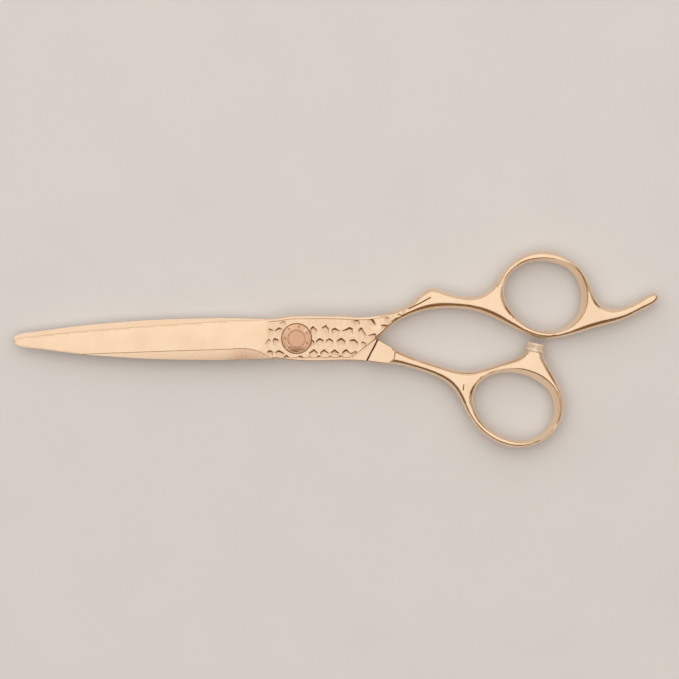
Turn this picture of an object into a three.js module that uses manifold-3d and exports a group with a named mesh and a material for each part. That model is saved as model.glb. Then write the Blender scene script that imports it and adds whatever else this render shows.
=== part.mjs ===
// Hair cutting shears, 6 inch class, lying flat. Millimetres, +Z up.
// The origin is on the pivot axis, on the surface that the shears lie on. +X runs to the handles.
// The finger half is the upper layer (its blade cuts on its +Y side), the thumb half the lower one.
import * as THREE from "three";
import { mergeVertices } from "three/addons/utils/BufferGeometryUtils.js";
import Module from "manifold-3d";

// ---- driving dimensions ----
const THICKNESS = 6.0; // both halves together, and the full thickness of the handles
const MID_Z = THICKNESS / 2; // plane where the two halves meet
const LAP_GAP = 0.05; // each half stays this far from the meeting plane
const HANDLE_ROUNDING = { size: 0.6, height: 1.3, steps: 2 };

const DIAL = { radius: 4.0, bottom: 5.05, top: 7.1, marks: 7, markRadius: 3.15, markSize: 0.32 };
const DIAL_SEAT = { radius: 4.2, floor: 4.4 };
const CAP = { radius: 2.25, bottom: 6.78, top: 7.0 };
const BOLT = { headRadius: 3.6, headTop: 0.8, neckRadius: 1.65, neckTop: 3.2, top: 6.6, flat: 1.2 };
const BOLT_CHAMFER = 0.3;
const HEAD_SEAT = { radius: 4.0, floor: 2.0 };
const BUSH = { inner: 1.7, outer: 2.15, bottom: 0.85, top: 2.92 };
const RACE = { balls: 8, ballRadius: 0.4, pitchRadius: 3.0, z: 1.25, inner: 2.35, outer: 3.65 };
const CAGE_THICKNESS = 0.4;
const THRUST_WASHER = { inner: 2.25, outer: 3.8, bottom: 1.7, top: 1.95 };
const RIDE_WASHER = { inner: 1.8, outer: 3.9, bottom: 2.98, top: 3.23 };
const CLICK_PLATE = { outer: 3.9, bottom: 4.43, top: 4.68, pips: 3, pipRing: 3.45, pipSize: 0.3 };
const SPRING = { inner: 1.95, outer: 3.0, bottom: 4.72, sheet: 0.16, rise: 0.12 };
const BUMPER = { x: 62.47, y: -3.5, lean: -13, radius: 2.35, topRadius: 2.15, height: 2.25 };
const STUD = { radius: 0.8, depth: 2.8, into: 1.3 };
const FIT = 0.05; // clearance round turning and seated pieces

const THUMB_BLADE_LEAN = THREE.MathUtils.degToRad(0.65); // the blades rest a hair open
const ROUND = 48; // sides of a turned piece

// ---- outlines, x and y from the pivot ----
// Blade of the finger half, from the heel along the cutting edge, round the tip and back on the spine.
const BLADE_EDGE = [
  [-3.0, 4.9], [-13.6, 4.85], [-25.4, 4.2], [-38.6, 3.3], [-51.7, 2.3], [-62.2, 1.35], [-69.5, 0.55],
  [-73.0, 0.1], [-74.1, -0.45], [-74.3, -1.0],
];
const BLADE_SPINE = [
  [-74.3, -1.0], [-73.4, -1.75], [-69.5, -2.5], [-62.1, -3.4], [-54.2, -4.25], [-46.3, -4.85],
  [-38.4, -5.3], [-30.5, -5.52], [-22.7, -5.6], [-14.8, -5.48], [-8.5, -5.2], [-3.0, -5.0],
];
// Points that set the blade's ground faces: x, y and the height over the meeting plane.
const EDGE_AT_TIP = [-73.0, 0.1, 0.17];
const EDGE_AT_HEEL = [-13.6, 4.85, 0.17];
const CROWN_AT_HEEL = [-13.6, 2.4, 1.4]; // the face is convex: steeper from the edge to this point
const RIDGE_AT_HEEL = [-13.6, -2.5, 2.7]; // the ridge parts the ground face from the spine bevel
const RIDGE_AT_TIP = [-56.4, -3.9, 1.85];
const SPINE_AT_MIDDLE = [-30.5, -5.52, 1.3];

// Finger half from the body's heel along the top of the shank, round the ring to the tip of the rest.
const FINGER_TOP = [
  [-8.0, 5.2], [-5.0, 5.4], [-2.0, 5.85], [2.0, 6.0], [12.0, 5.9], [18.0, 5.75], [22.5, 6.45],
  [27.0, 7.7], [30.2, 9.5], [33.0, 12.1], [35.6, 13.25], [39.0, 12.35], [43.6, 11.15], [47.6, 11.3],
  [50.6, 12.8], [53.8, 16.9], [57.8, 20.9], [63.9, 22.95], [70.2, 21.7], [75.2, 17.6], [78.2, 11.7],
  [80.2, 8.7], [82.8, 7.8], [86.4, 8.4], [90.2, 10.1], [93.2, 11.7], [94.6, 11.7], [95.2, 10.9],
];
// The same half back under the finger rest and the ring to the crotch.
const FINGER_UNDER = [
  [95.2, 10.9], [94.7, 9.8], [91.6, 7.8], [86.4, 5.15], [80.0, 3.2], [73.6, 1.3], [69.6, 0.3],
  [66.0, -0.06], [61.4, 0.8], [56.2, 3.2], [51.2, 5.7], [46.0, 7.45], [40.4, 7.97], [34.8, 7.5],
  [29.4, 5.9], [25.6, 3.8], [23.2, 1.8], [21.4, 0.35],
];
const FINGER_BODY_END = [14.7, -4.8]; // foot of the body's slanting end edge
const FINGER_BODY_HEEL = [-8.0, -5.15];
const FINGER_HOLE = [
  [54.6, 12.0], [56.4, 7.2], [60.6, 3.3], [66.2, 1.85], [71.4, 3.7], [74.4, 8.2], [74.5, 13.0],
  [71.6, 18.1], [66.6, 20.2], [60.8, 19.9], [56.5, 17.2],
];

// Thumb half from the crotch along the upper side of its shank to the foot of the horn.
const THUMB_TOP = [
  [21.5, -0.35], [25.0, -2.3], [29.4, -4.4], [35.6, -6.5], [40.6, -8.0], [44.4, -8.6],
  [48.4, -8.15], [53.2, -6.65], [57.2, -5.4], [59.2, -4.4], [60.3, -3.05],
];
// Round the outside of the thumb ring, from the far end of the horn's flat to the plateau.
const THUMB_OUTER = [
  [64.7, -4.06], [66.0, -6.7], [68.6, -11.3], [70.1, -15.5], [70.0, -20.0], [67.7, -24.4],
  [63.4, -27.6], [58.0, -28.7], [52.6, -27.4], [47.4, -23.5], [43.6, -17.6], [41.0, -13.3],
  [37.6, -10.7], [33.0, -8.8], [28.6, -7.5], [25.2, -6.8],
];
const THUMB_BODY_LOW = [
  [25.2, -6.8], [22.4, -6.5], [18.3, -5.95], [12.0, -5.7], [2.5, -5.85], [-2.2, -5.5], [-6.5, -5.1],
];
const THUMB_BODY_END = [14.7, 4.8];
const THUMB_BODY_HEEL = [-8.0, 5.1];
const THUMB_HOLE = [
  [47.2, -19.2], [50.0, -23.1], [54.8, -26.1], [60.6, -26.8], [65.2, -24.4], [67.5, -19.6],
  [66.9, -15.0], [63.0, -10.85], [58.0, -8.95], [52.6, -9.15], [48.4, -11.5], [46.6, -15.2],
];
// Shoulders: where each half steps from its own layer to the full thickness of the handle.
const FINGER_SHOULDER = [[21.35, 0.35], [18.2, 6.5]];
const THUMB_SHOULDER = [[21.3, -0.45], [18.1, -6.6]];

// ---- solid helpers ----
const wasm = await Module();
wasm.setup();

// A closed geometry as a manifold-3d solid with its faces pointing out.
function solid(geometry) {
  const bare = geometry.clone();
  for (const name of ["normal", "uv"]) bare.deleteAttribute(name);
  const merged = mergeVertices(bare, 1e-5);
  const position = merged.attributes.position.array;
  const corners = [];
  const index = merged.index.array;
  for (let i = 0; i < index.length; i += 3) {
    const [a, b, c] = index.slice(i, i + 3);
    if (a !== b && b !== c && c !== a) corners.push(a, b, c);
  }
  const make = (list) =>
    new wasm.Manifold(
      new wasm.Mesh({ numProp: 3, vertProperties: position, triVerts: new Uint32Array(list) }),
    );
  const made = make(corners);
  return made.volume() < 0 ? make(corners.reverse()) : made;
}

function geometryOf(manifold) {
  const { vertProperties, triVerts } = manifold.getMesh();
  const geometry = new THREE.BufferGeometry();
  geometry.setAttribute("position", new THREE.BufferAttribute(vertProperties, 3));
  geometry.setIndex(new THREE.BufferAttribute(triVerts, 1));
  const faceted = geometry.toNonIndexed();
  faceted.computeVertexNormals();
  return faceted;
}

const points2 = (list) => list.map(([x, y]) => new THREE.Vector2(x, y));

// Adds a smooth run through a list of points, from its first point to its last.
function runThrough(path, list) {
  path.lineTo(...list[0]);
  path.splineThru(points2(list.slice(1)));
}

// An outline extruded from one height to another. rounding softens both rims inside the outline.
function plate(shape, from, to, rounding = null) {
  const soft = rounding ?? { size: 0, height: 0, steps: 0 };
  const geometry = new THREE.ExtrudeGeometry(shape, {
    depth: to - from - 2 * soft.height,
    curveSegments: 3,
    bevelEnabled: rounding !== null,
    bevelSize: soft.size,
    bevelOffset: -soft.size,
    bevelThickness: soft.height,
    bevelSegments: soft.steps,
  });
  return solid(geometry.translate(0, 0, from + soft.height));
}

// A turned piece about the Z axis from its closed profile of [radius, z] corners.
function turned(profile, sides = ROUND) {
  const closed = [...profile, profile[0]];
  const geometry = new THREE.LatheGeometry(points2(closed), sides);
  return solid(geometry.rotateX(Math.PI / 2));
}

const disc = (radius, from, to, sides = ROUND) =>
  turned([[0, from], [radius, from], [radius, to], [0, to]], sides);

const washer = (inner, outer, from, to, sides = ROUND) =>
  turned([[inner, from], [outer, from], [outer, to], [inner, to]], sides);

// Everything above the plane through three points, given over the meeting plane, as one large block.
function blockAbove(...corners) {
  const [p, q, r] = corners.map(([x, y, z]) => new THREE.Vector3(x, y, MID_Z + z));
  const along = q.clone().sub(p).normalize();
  const up = along.clone().cross(r.clone().sub(p)).normalize();
  if (up.z < 0) up.negate();
  const across = up.clone().cross(along);
  const height = 40;
  const placed = new THREE.Matrix4().makeBasis(along, across, up);
  placed.setPosition(p.clone().addScaledVector(up, height / 2));
  return solid(new THREE.BoxGeometry(260, 120, height).applyMatrix4(placed));
}

// Everything on the blade side of a shoulder, between two heights.
function bladeSide([crotch, foot], from, to) {
  const far = 100;
  const outward = Math.sign(foot[1]) * far;
  const corners = [
    [-far, -outward], [crotch[0], -outward], crotch, foot, [foot[0], outward], [-far, outward],
  ];
  return plate(new THREE.Shape(points2(corners)), from, to);
}

// A solid turned half a turn about the X axis at mid height: the upper layer becomes the lower one.
function turnedOver(manifold) {
  const mesh = geometryOf(manifold);
  return solid(mesh.rotateX(Math.PI).translate(0, 0, THICKNESS));
}

// ---- the two halves ----
// Upper-layer blade: a flat inner face, a ground face that rises from the edge, and a spine bevel.
function blade() {
  const shape = new THREE.Shape();
  shape.moveTo(...BLADE_EDGE[0]);
  shape.splineThru(points2(BLADE_EDGE.slice(1)));
  shape.splineThru(points2(BLADE_SPINE.slice(1)));
  return plate(shape, MID_Z + LAP_GAP, THICKNESS)
    .subtract(blockAbove(EDGE_AT_TIP, EDGE_AT_HEEL, CROWN_AT_HEEL))
    .subtract(blockAbove(RIDGE_AT_TIP, RIDGE_AT_HEEL, CROWN_AT_HEEL))
    .subtract(blockAbove(RIDGE_AT_TIP, RIDGE_AT_HEEL, SPINE_AT_MIDDLE));
}

function fingerHalf() {
  const outline = new THREE.Shape();
  outline.moveTo(...FINGER_TOP[0]);
  outline.splineThru(points2(FINGER_TOP.slice(1)));
  outline.splineThru(points2(FINGER_UNDER.slice(1)));
  outline.lineTo(...FINGER_BODY_END);
  outline.lineTo(...FINGER_BODY_HEEL);
  outline.closePath();
  outline.holes.push(ringHole(FINGER_HOLE));
  return plate(outline, 0, THICKNESS, HANDLE_ROUNDING)
    .subtract(bladeSide(FINGER_SHOULDER, -1, MID_Z + LAP_GAP))
    .add(blade())
    .subtract(disc(DIAL_SEAT.radius, DIAL_SEAT.floor, THICKNESS + 1))
    .subtract(disc(RIDE_WASHER.outer + 0.1, MID_Z - 1, RIDE_WASHER.top + FIT))
    .subtract(keyed(FIT, MID_Z - 1, DIAL_SEAT.floor + 1));
}

function thumbHalf() {
  const outline = new THREE.Shape();
  outline.moveTo(...THUMB_TOP[0]);
  outline.splineThru(points2(THUMB_TOP.slice(1)));
  runThrough(outline, THUMB_OUTER);
  outline.splineThru(points2(THUMB_BODY_LOW.slice(1)));
  outline.lineTo(...THUMB_BODY_HEEL);
  outline.lineTo(...THUMB_BODY_END);
  outline.closePath();
  outline.holes.push(ringHole(THUMB_HOLE));
  const leaning = geometryOf(turnedOver(blade())).rotateZ(THUMB_BLADE_LEAN);
  return plate(outline, 0, THICKNESS, HANDLE_ROUNDING)
    .subtract(bladeSide(THUMB_SHOULDER, MID_Z - LAP_GAP, THICKNESS + 1))
    .add(solid(leaning))
    .subtract(disc(HEAD_SEAT.radius, -1, HEAD_SEAT.floor))
    .subtract(disc(BUSH.outer + FIT, -1, THICKNESS))
    .subtract(onHorn(disc(STUD.radius + 2 * FIT, -STUD.depth, 3, 20)));
}

function ringHole(list) {
  const curve = new THREE.CatmullRomCurve3(list.map(([x, y]) => new THREE.Vector3(x, y, 0)), true);
  const around = curve.getPoints(list.length * 4).slice(0, -1);
  return new THREE.Path(around.map(({ x, y }) => new THREE.Vector2(x, y)));
}

// ---- pivot pieces ----
// A round bar with two flats, as on the bolt's upper part: larger all round by a clearance.
function keyed(clearance, from, to) {
  const flats = new THREE.BoxGeometry(20, 2 * (BOLT.flat + clearance), to - from);
  const slab = solid(flats.translate(0, 0, (from + to) / 2));
  return disc(BOLT.neckRadius + clearance, from, to).intersect(slab);
}

function pivotBolt() {
  const { headRadius, headTop, neckRadius, neckTop, top } = BOLT;
  const round = turned([
    [0, 0], [headRadius - BOLT_CHAMFER, 0], [headRadius, BOLT_CHAMFER], [headRadius, headTop],
    [neckRadius, headTop], [neckRadius, neckTop], [0, neckTop],
  ]);
  return round.add(keyed(0, neckTop - 0.2, top));
}

function pivotBushing() {
  return washer(BUSH.inner, BUSH.outer, BUSH.bottom, BUSH.top);
}

const aroundRace = (i) => ((i + 0.5) / RACE.balls) * 2 * Math.PI;

function ballCage() {
  const half = CAGE_THICKNESS / 2;
  let cage = washer(RACE.inner, RACE.outer, RACE.z - half, RACE.z + half);
  for (let i = 0; i < RACE.balls; i += 1) {
    const x = RACE.pitchRadius * Math.cos(aroundRace(i));
    const y = RACE.pitchRadius * Math.sin(aroundRace(i));
    const pocket = new THREE.CylinderGeometry(RACE.ballRadius + FIT, RACE.ballRadius + FIT, 2, 12);
    cage = cage.subtract(solid(pocket.rotateX(Math.PI / 2).translate(x, y, RACE.z)));
  }
  return cage;
}

function bearingBall(i) {
  const ball = new THREE.SphereGeometry(RACE.ballRadius, 12, 8);
  const x = RACE.pitchRadius * Math.cos(aroundRace(i));
  const y = RACE.pitchRadius * Math.sin(aroundRace(i));
  return solid(ball.rotateX(Math.PI / 2).translate(x, y, RACE.z));
}

function clickPlate() {
  const { outer, bottom, top, pips, pipRing, pipSize } = CLICK_PLATE;
  let made = disc(outer, bottom, top).subtract(keyed(FIT, bottom - 1, top + 1));
  for (let i = 0; i < pips; i += 1) {
    const turn = (i / pips) * 2 * Math.PI;
    const pip = new THREE.CylinderGeometry(pipSize / 2, pipSize, pipSize, 12).rotateX(Math.PI / 2);
    pip.translate(pipRing * Math.cos(turn), pipRing * Math.sin(turn), top + pipSize / 2 - 0.02);
    made = made.add(solid(pip));
  }
  return made;
}

// A disc spring: a thin sheet that rises from its rim to its bore.
function springWasher() {
  const { inner, outer, bottom, sheet, rise } = SPRING;
  const rim = bottom + rise;
  return turned([[inner, rim], [outer, bottom], [outer, bottom + sheet], [inner, rim + sheet]]);
}

function tensionDial() {
  const { radius, bottom, top, marks, markRadius, markSize } = DIAL;
  const bore = BOLT.neckRadius + FIT;
  const seat = CAP.radius + FIT;
  const seatZ = CAP.bottom - FIT;
  let dial = turned([
    [bore, bottom], [radius, bottom], [radius, top - 0.55], [radius - 0.12, top - 0.25],
    [radius - 0.45, top], [seat, top], [seat, seatZ], [bore, seatZ],
  ]);
  for (let i = 0; i < marks; i += 1) {
    const turn = ((i + 0.5) / marks) * 2 * Math.PI;
    const mark = new THREE.SphereGeometry(markSize, 10, 6);
    mark.translate(markRadius * Math.cos(turn), markRadius * Math.sin(turn), top + 0.1);
    dial = dial.subtract(solid(mark));
  }
  return dial;
}

// ---- bumper on the horn ----
// Places a solid made about the Z axis so that its base sits on the horn, standing across the shears.
function onHorn(manifold) {
  const lean = THREE.MathUtils.degToRad(BUMPER.lean);
  const geometry = geometryOf(manifold).rotateX(-Math.PI / 2).rotateZ(lean);
  return solid(geometry.translate(BUMPER.x, BUMPER.y, MID_Z));
}

function bumper() {
  const { radius, topRadius, height } = BUMPER;
  const hole = disc(STUD.radius + FIT, -1, STUD.into + FIT, 20);
  const body = turned([
    [0, FIT], [radius, FIT], [radius, 0.45], [topRadius - 0.05, 1.1], [topRadius, height - 0.35],
    [topRadius - 0.15, height], [0, height],
  ], 32);
  return onHorn(body.subtract(hole));
}

function bumperStud() {
  return onHorn(disc(STUD.radius, -STUD.depth + FIT, STUD.into, 20));
}

// ---- materials and assembly ----
const metal = (color, roughness) => new THREE.MeshStandardMaterial({ color, roughness, metalness: 1 });
const roseGold = () => metal(0xecc4a0, 0.22);
const copperRose = () => metal(0xdba688, 0.25);
const steel = () => metal(0xc9ccd0, 0.3);
const bronze = () => metal(0xb98a4e, 0.4);
const plastic = (color, roughness) => new THREE.MeshStandardMaterial({ color, roughness, metalness: 0 });

const shears = new THREE.Group();

function place(name, manifold, material) {
  const mesh = new THREE.Mesh(geometryOf(manifold), material);
  mesh.name = name;
  shears.add(mesh);
}

place("finger_half", fingerHalf(), roseGold());
place("thumb_half", thumbHalf(), roseGold());
place("pivot_bolt", pivotBolt(), roseGold());
place("pivot_bushing", pivotBushing(), bronze());
const { inner, outer, bottom, top } = THRUST_WASHER;
place("thrust_washer", washer(inner, outer, bottom, top), steel());
place("ball_cage", ballCage(), plastic(0xd8d2c4, 0.5));
for (let i = 0; i < RACE.balls; i += 1) place(`bearing_ball_${i + 1}`, bearingBall(i), steel());
place("ride_washer", washer(RIDE_WASHER.inner, RIDE_WASHER.outer, RIDE_WASHER.bottom, RIDE_WASHER.top),
  plastic(0xf0ede4, 0.5));
place("click_plate", clickPlate(), steel());
place("spring_washer", springWasher(), steel());
place("tension_dial", tensionDial(), roseGold());
place("dial_cap", disc(CAP.radius, CAP.bottom, CAP.top), copperRose());
place("bumper", bumper(), plastic(0xe2d3bf, 0.45));
place("bumper_stud", bumperStud(), steel());

export default shears;
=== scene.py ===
"""Hair cutting shears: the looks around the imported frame.

Shapes are laid out in millimetres and stored in metres.
"""

import math

import bpy
import numpy as np
from mathutils import Matrix, Vector
from mathutils.geometry import delaunay_2d_cdt


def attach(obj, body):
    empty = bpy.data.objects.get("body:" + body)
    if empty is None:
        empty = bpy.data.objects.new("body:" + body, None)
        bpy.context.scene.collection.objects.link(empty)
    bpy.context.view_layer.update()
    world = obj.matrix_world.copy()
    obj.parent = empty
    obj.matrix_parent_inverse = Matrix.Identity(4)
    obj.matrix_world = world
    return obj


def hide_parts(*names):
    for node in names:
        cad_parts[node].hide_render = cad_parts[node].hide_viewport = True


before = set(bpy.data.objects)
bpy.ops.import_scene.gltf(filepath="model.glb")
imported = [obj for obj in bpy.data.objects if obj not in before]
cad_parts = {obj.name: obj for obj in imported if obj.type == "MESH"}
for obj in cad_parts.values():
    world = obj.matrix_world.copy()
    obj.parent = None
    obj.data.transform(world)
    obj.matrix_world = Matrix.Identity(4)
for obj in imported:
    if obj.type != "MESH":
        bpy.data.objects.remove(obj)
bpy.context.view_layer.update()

MM = 0.001
THICKNESS = 6.0  # both halves together
MID_Z = THICKNESS / 2  # plane where the two halves meet
LAP_GAP = 0.05
THUMB_BLADE_LEAN = math.radians(0.65)

# ---- outlines, x and y from the pivot, in millimetres ----
BLADE = [
    (-3.0, -5.0), (-8.5, -5.2), (-14.8, -5.48), (-22.7, -5.6), (-30.5, -5.52), (-38.4, -5.3),
    (-46.3, -4.85), (-54.2, -4.25), (-62.1, -3.4), (-69.5, -2.5), (-73.4, -1.75), (-74.3, -1.0),
    (-74.1, -0.45), (-73.0, 0.1), (-69.5, 0.55), (-62.2, 1.35), (-51.7, 2.3), (-38.6, 3.3),
    (-25.4, 4.2), (-13.6, 4.85), (-3.0, 4.9),
]
RIDGE = [
    (-80.0, -4.8), (-56.4, -4.0), (-41.3, -3.46), (-26.75, -2.98), (-17.0, -2.62), (-12.65, -2.6),
    (-10.2, -3.2), (-7.3, -4.7), (-6.4, -5.4),
]
HEEL_BORDER = [(-7.3, 8.0), (-7.3, 0.2), (-9.35, -3.05), (-9.35, -8.0)]
HEEL_X = -7.3
FINGER_LOOP = [
    (-7.3, 5.22), (-5.0, 5.4), (-2.0, 5.85), (2.0, 6.0), (12.0, 5.9), (18.0, 5.75), (22.5, 6.45),
    (27.0, 7.7), (30.2, 9.5), (33.0, 12.1), (35.6, 13.25), (39.0, 12.35), (43.6, 11.15),
    (47.6, 11.3), (50.6, 12.8), (53.8, 16.9), (57.8, 20.9), (63.9, 22.95), (70.2, 21.7),
    (75.2, 17.6), (78.2, 11.7), (80.2, 8.7), (82.8, 7.8), (86.4, 8.4), (90.2, 10.1), (93.2, 11.7),
    (94.6, 11.7), (95.2, 10.9), (94.7, 9.8), (91.6, 7.8), (86.4, 5.15), (80.0, 3.2), (73.6, 1.3),
    (69.6, 0.3), (66.0, -0.06), (61.4, 0.8), (56.2, 3.2), (51.2, 5.7), (46.0, 7.45), (40.4, 7.97),
    (34.8, 7.5), (29.4, 5.9), (25.6, 3.8), (23.2, 1.8), (21.4, 0.35),
]
FINGER_END = (14.7, -4.8)
FINGER_LOW_HEEL = (-6.6, -5.12)
FINGER_HOLE = [
    (54.65, 12.0), (56.5, 7.3), (60.7, 3.45), (66.2, 1.95), (71.4, 3.7), (74.4, 8.2), (74.5, 13.0),
    (71.6, 18.0), (66.6, 20.05), (60.8, 19.75), (56.5, 17.1),
]
THUMB_TOP = [
    (21.5, -0.35), (25.0, -2.3), (29.4, -4.4), (35.6, -6.5), (40.6, -8.0), (44.4, -8.6),
    (48.4, -8.15), (53.2, -6.65), (57.2, -5.4), (59.2, -4.4), (60.3, -3.05),
]
THUMB_OUTER = [
    (64.7, -4.06), (66.0, -6.7), (68.6, -11.3), (70.1, -15.5), (70.0, -20.0), (67.7, -24.4),
    (63.4, -27.6), (58.0, -28.7), (52.6, -27.4), (47.4, -23.5), (43.6, -17.6), (41.05, -13.2),
    (37.6, -10.55), (33.0, -8.65), (28.6, -7.38), (25.2, -6.75), (22.4, -6.5), (18.3, -5.95),
    (12.0, -5.7), (2.5, -5.85), (-2.2, -5.5), (-6.5, -5.1),
]
THUMB_HEEL_TOP = (-8.0, 5.1)
THUMB_BODY_END = (14.7, 4.8)
THUMB_HOLE = [
    (47.2, -19.2), (50.0, -23.1), (54.8, -25.95), (60.5, -26.65), (65.15, -24.35), (67.5, -19.6),
    (66.9, -15.0), (63.0, -11.0), (58.0, -9.15), (52.6, -9.3), (48.4, -11.5), (46.6, -15.2),
]
FINGER_SHOULDER = [(21.35, 0.35), (18.2, 6.5)]
# Known fault: the step under the finger half stands straight here. In the CAD it follows FINGER_SHOULDER.
UNDER_STEP_X = 24.5
THUMB_SHOULDER = [(24.4, 6.0), (21.3, -0.45), (18.1, -6.6), (17.0, -9.0)]
PLATEAU_END = [(24.4, 2.0), (25.0, -2.25), (25.6, -3.5), (25.6, -4.7), (25.3, -5.45), (23.4, -6.85)]


# ---- curves and distances ----
CHUNK = 1500  # points handled at a time, to save memory
ON_LINE = 1e-4  # nearer than this, a point is on a line


def spline(points, step, closed=False):
    """A cubic spline through points, sampled evenly. Its bend changes without a jump."""
    p = np.array(points, float)
    if closed:
        p = np.vstack([p, p[:1]])
    t = np.concatenate([[0], np.cumsum(np.linalg.norm(np.diff(p, axis=0), axis=1))])
    n, h = len(p), np.diff(t)
    slope = np.diff(p, axis=0) / h[:, None]
    a, b = np.zeros((n, n)), np.zeros((n, 2))
    for i in range(1, n - 1):
        a[i, i - 1 : i + 2] = h[i - 1], 2 * (h[i - 1] + h[i]), h[i]
        b[i] = 6 * (slope[i] - slope[i - 1])
    if closed:
        a[0, 0], a[0, -1] = 1, -1
        a[-1, 0], a[-1, 1], a[-1, -2], a[-1, -1] = 2 * h[0], h[0], h[-1], 2 * h[-1]
        b[-1] = 6 * (slope[0] - slope[-1])
    else:
        a[0, 0] = a[-1, -1] = 1
    m = np.linalg.solve(a, b)
    s = np.linspace(0, t[-1], max(2, round(t[-1] / step) + 1))
    i = np.clip(np.searchsorted(t, s, side="right") - 1, 0, n - 2)
    w, left, right = h[i][:, None], (t[i + 1] - s)[:, None], (s - t[i])[:, None]
    q = (m[i] * left**3 + m[i + 1] * right**3) / (6 * w)
    q += (p[i] / w - m[i] * w / 6) * left + (p[i + 1] / w - m[i + 1] * w / 6) * right
    return q[:-1] if closed else q


def line(points, step):
    """Straight runs through points, sampled evenly."""
    p = np.array(points, float)
    out = []
    for a, b in zip(p[:-1], p[1:]):
        n = max(1, round(np.linalg.norm(b - a) / step))
        out.append(a + (b - a) * np.linspace(0, 1, n, endpoint=False)[:, None])
    return np.vstack([*out, p[-1:]])


def chain(*runs):
    """Joins runs end to end as a closed loop, without doubled points."""
    p = np.vstack(runs)
    keep = np.linalg.norm(p - np.roll(p, 1, axis=0), axis=1) > 0.04
    return p[keep]


def circle(radius, n, centre=(0, 0)):
    t = np.arange(n) / n * 2 * math.pi
    return np.stack([centre[0] + radius * np.cos(t), centre[1] + radius * np.sin(t)], axis=1)


def distance(points, run, closed=True):
    """Distance of each point to a run or loop."""
    a = run
    b = np.roll(run, -1, axis=0)
    if not closed:
        a, b = a[:-1], b[:-1]
    ab = b - a
    length2 = np.maximum((ab**2).sum(1), 1e-12)
    out = np.empty(len(points))
    for i in range(0, len(points), CHUNK):
        p = points[i : i + CHUNK]
        dx, dy = p[:, :1] - a[:, 0], p[:, 1:] - a[:, 1]
        t = np.clip((dx * ab[:, 0] + dy * ab[:, 1]) / length2, 0, 1)
        out[i : i + CHUNK] = np.sqrt(((dx - t * ab[:, 0]) ** 2 + (dy - t * ab[:, 1]) ** 2).min(1))
    return out


def inside(points, loops):
    """Whether each point is inside the first loop and outside the others, by the even-odd rule."""
    odd = np.zeros(len(points), bool)
    for loop in loops:
        x0, y0 = loop.T
        x1, y1 = np.roll(loop, -1, axis=0).T
        rise = np.where(y1 == y0, 1e-12, y1 - y0)
        for i in range(0, len(points), CHUNK):
            x, y = points[i : i + CHUNK, :1], points[i : i + CHUNK, 1:]
            crosses = ((y0 > y) != (y1 > y)) & (x < (x1 - x0) * (y - y0) / rise + x0)
            odd[i : i + CHUNK] ^= (crosses.sum(1) % 2).astype(bool)
    return odd


def across(table, y):
    """x of a border given as (x, y) points from high y to low y."""
    t = np.array(table[::-1], float)
    return np.interp(y, t[:, 1], t[:, 0])


def along(table, x):
    """y of a curve given as (x, y) points with rising x."""
    return np.interp(x, table[:, 0], table[:, 1])


def smooth(x, lo, hi):
    t = np.clip((x - lo) / (hi - lo), 0, 1)
    return t * t * (3 - 2 * t)


def soft_min(a, b, k):
    """The lower of two heights, rounded over about k where they cross."""
    h = np.clip(0.5 + 0.5 * (b - a) / k, 0, 1)
    return b * (1 - h) + a * h - k * h * (1 - h)


def rim(d, radius):
    """How far a rounded rim lies below the flat at a distance d from its edge."""
    t = np.clip(1 - d / radius, 0, 1)
    return radius * (1 - np.sqrt(1 - t * t))


# ---- flat layouts ----
LAYERS = (0.03, 0.09, 0.18, 0.3, 0.45, 0.65)
ZONES = [(-80, -9.6, 0.5), (-9.6, 27.5, 0.17), (27.5, 100, 0.33)]  # x from, x to, grid step
CREASE_CELL, POINT_CELL = 0.5, 0.4  # search cells for the crease points and for the points kept so far


def cells_at(p, size):
    """The search cell that a point lies in, and then its eight neighbours."""
    i, j = int(p[0] // size), int(p[1] // size)
    return [(i + a, j + b) for a in (0, -1, 1) for b in (0, -1, 1)]


def is_clear(p, cells, size, gap):
    """Whether a point lies at least gap from every point in the cells."""
    near = (q for cell in cells_at(p, size) for q in cells.get(cell, ()))
    return all((q[0] - p[0]) ** 2 + (q[1] - p[1]) ** 2 >= gap * gap for q in near)


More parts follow.
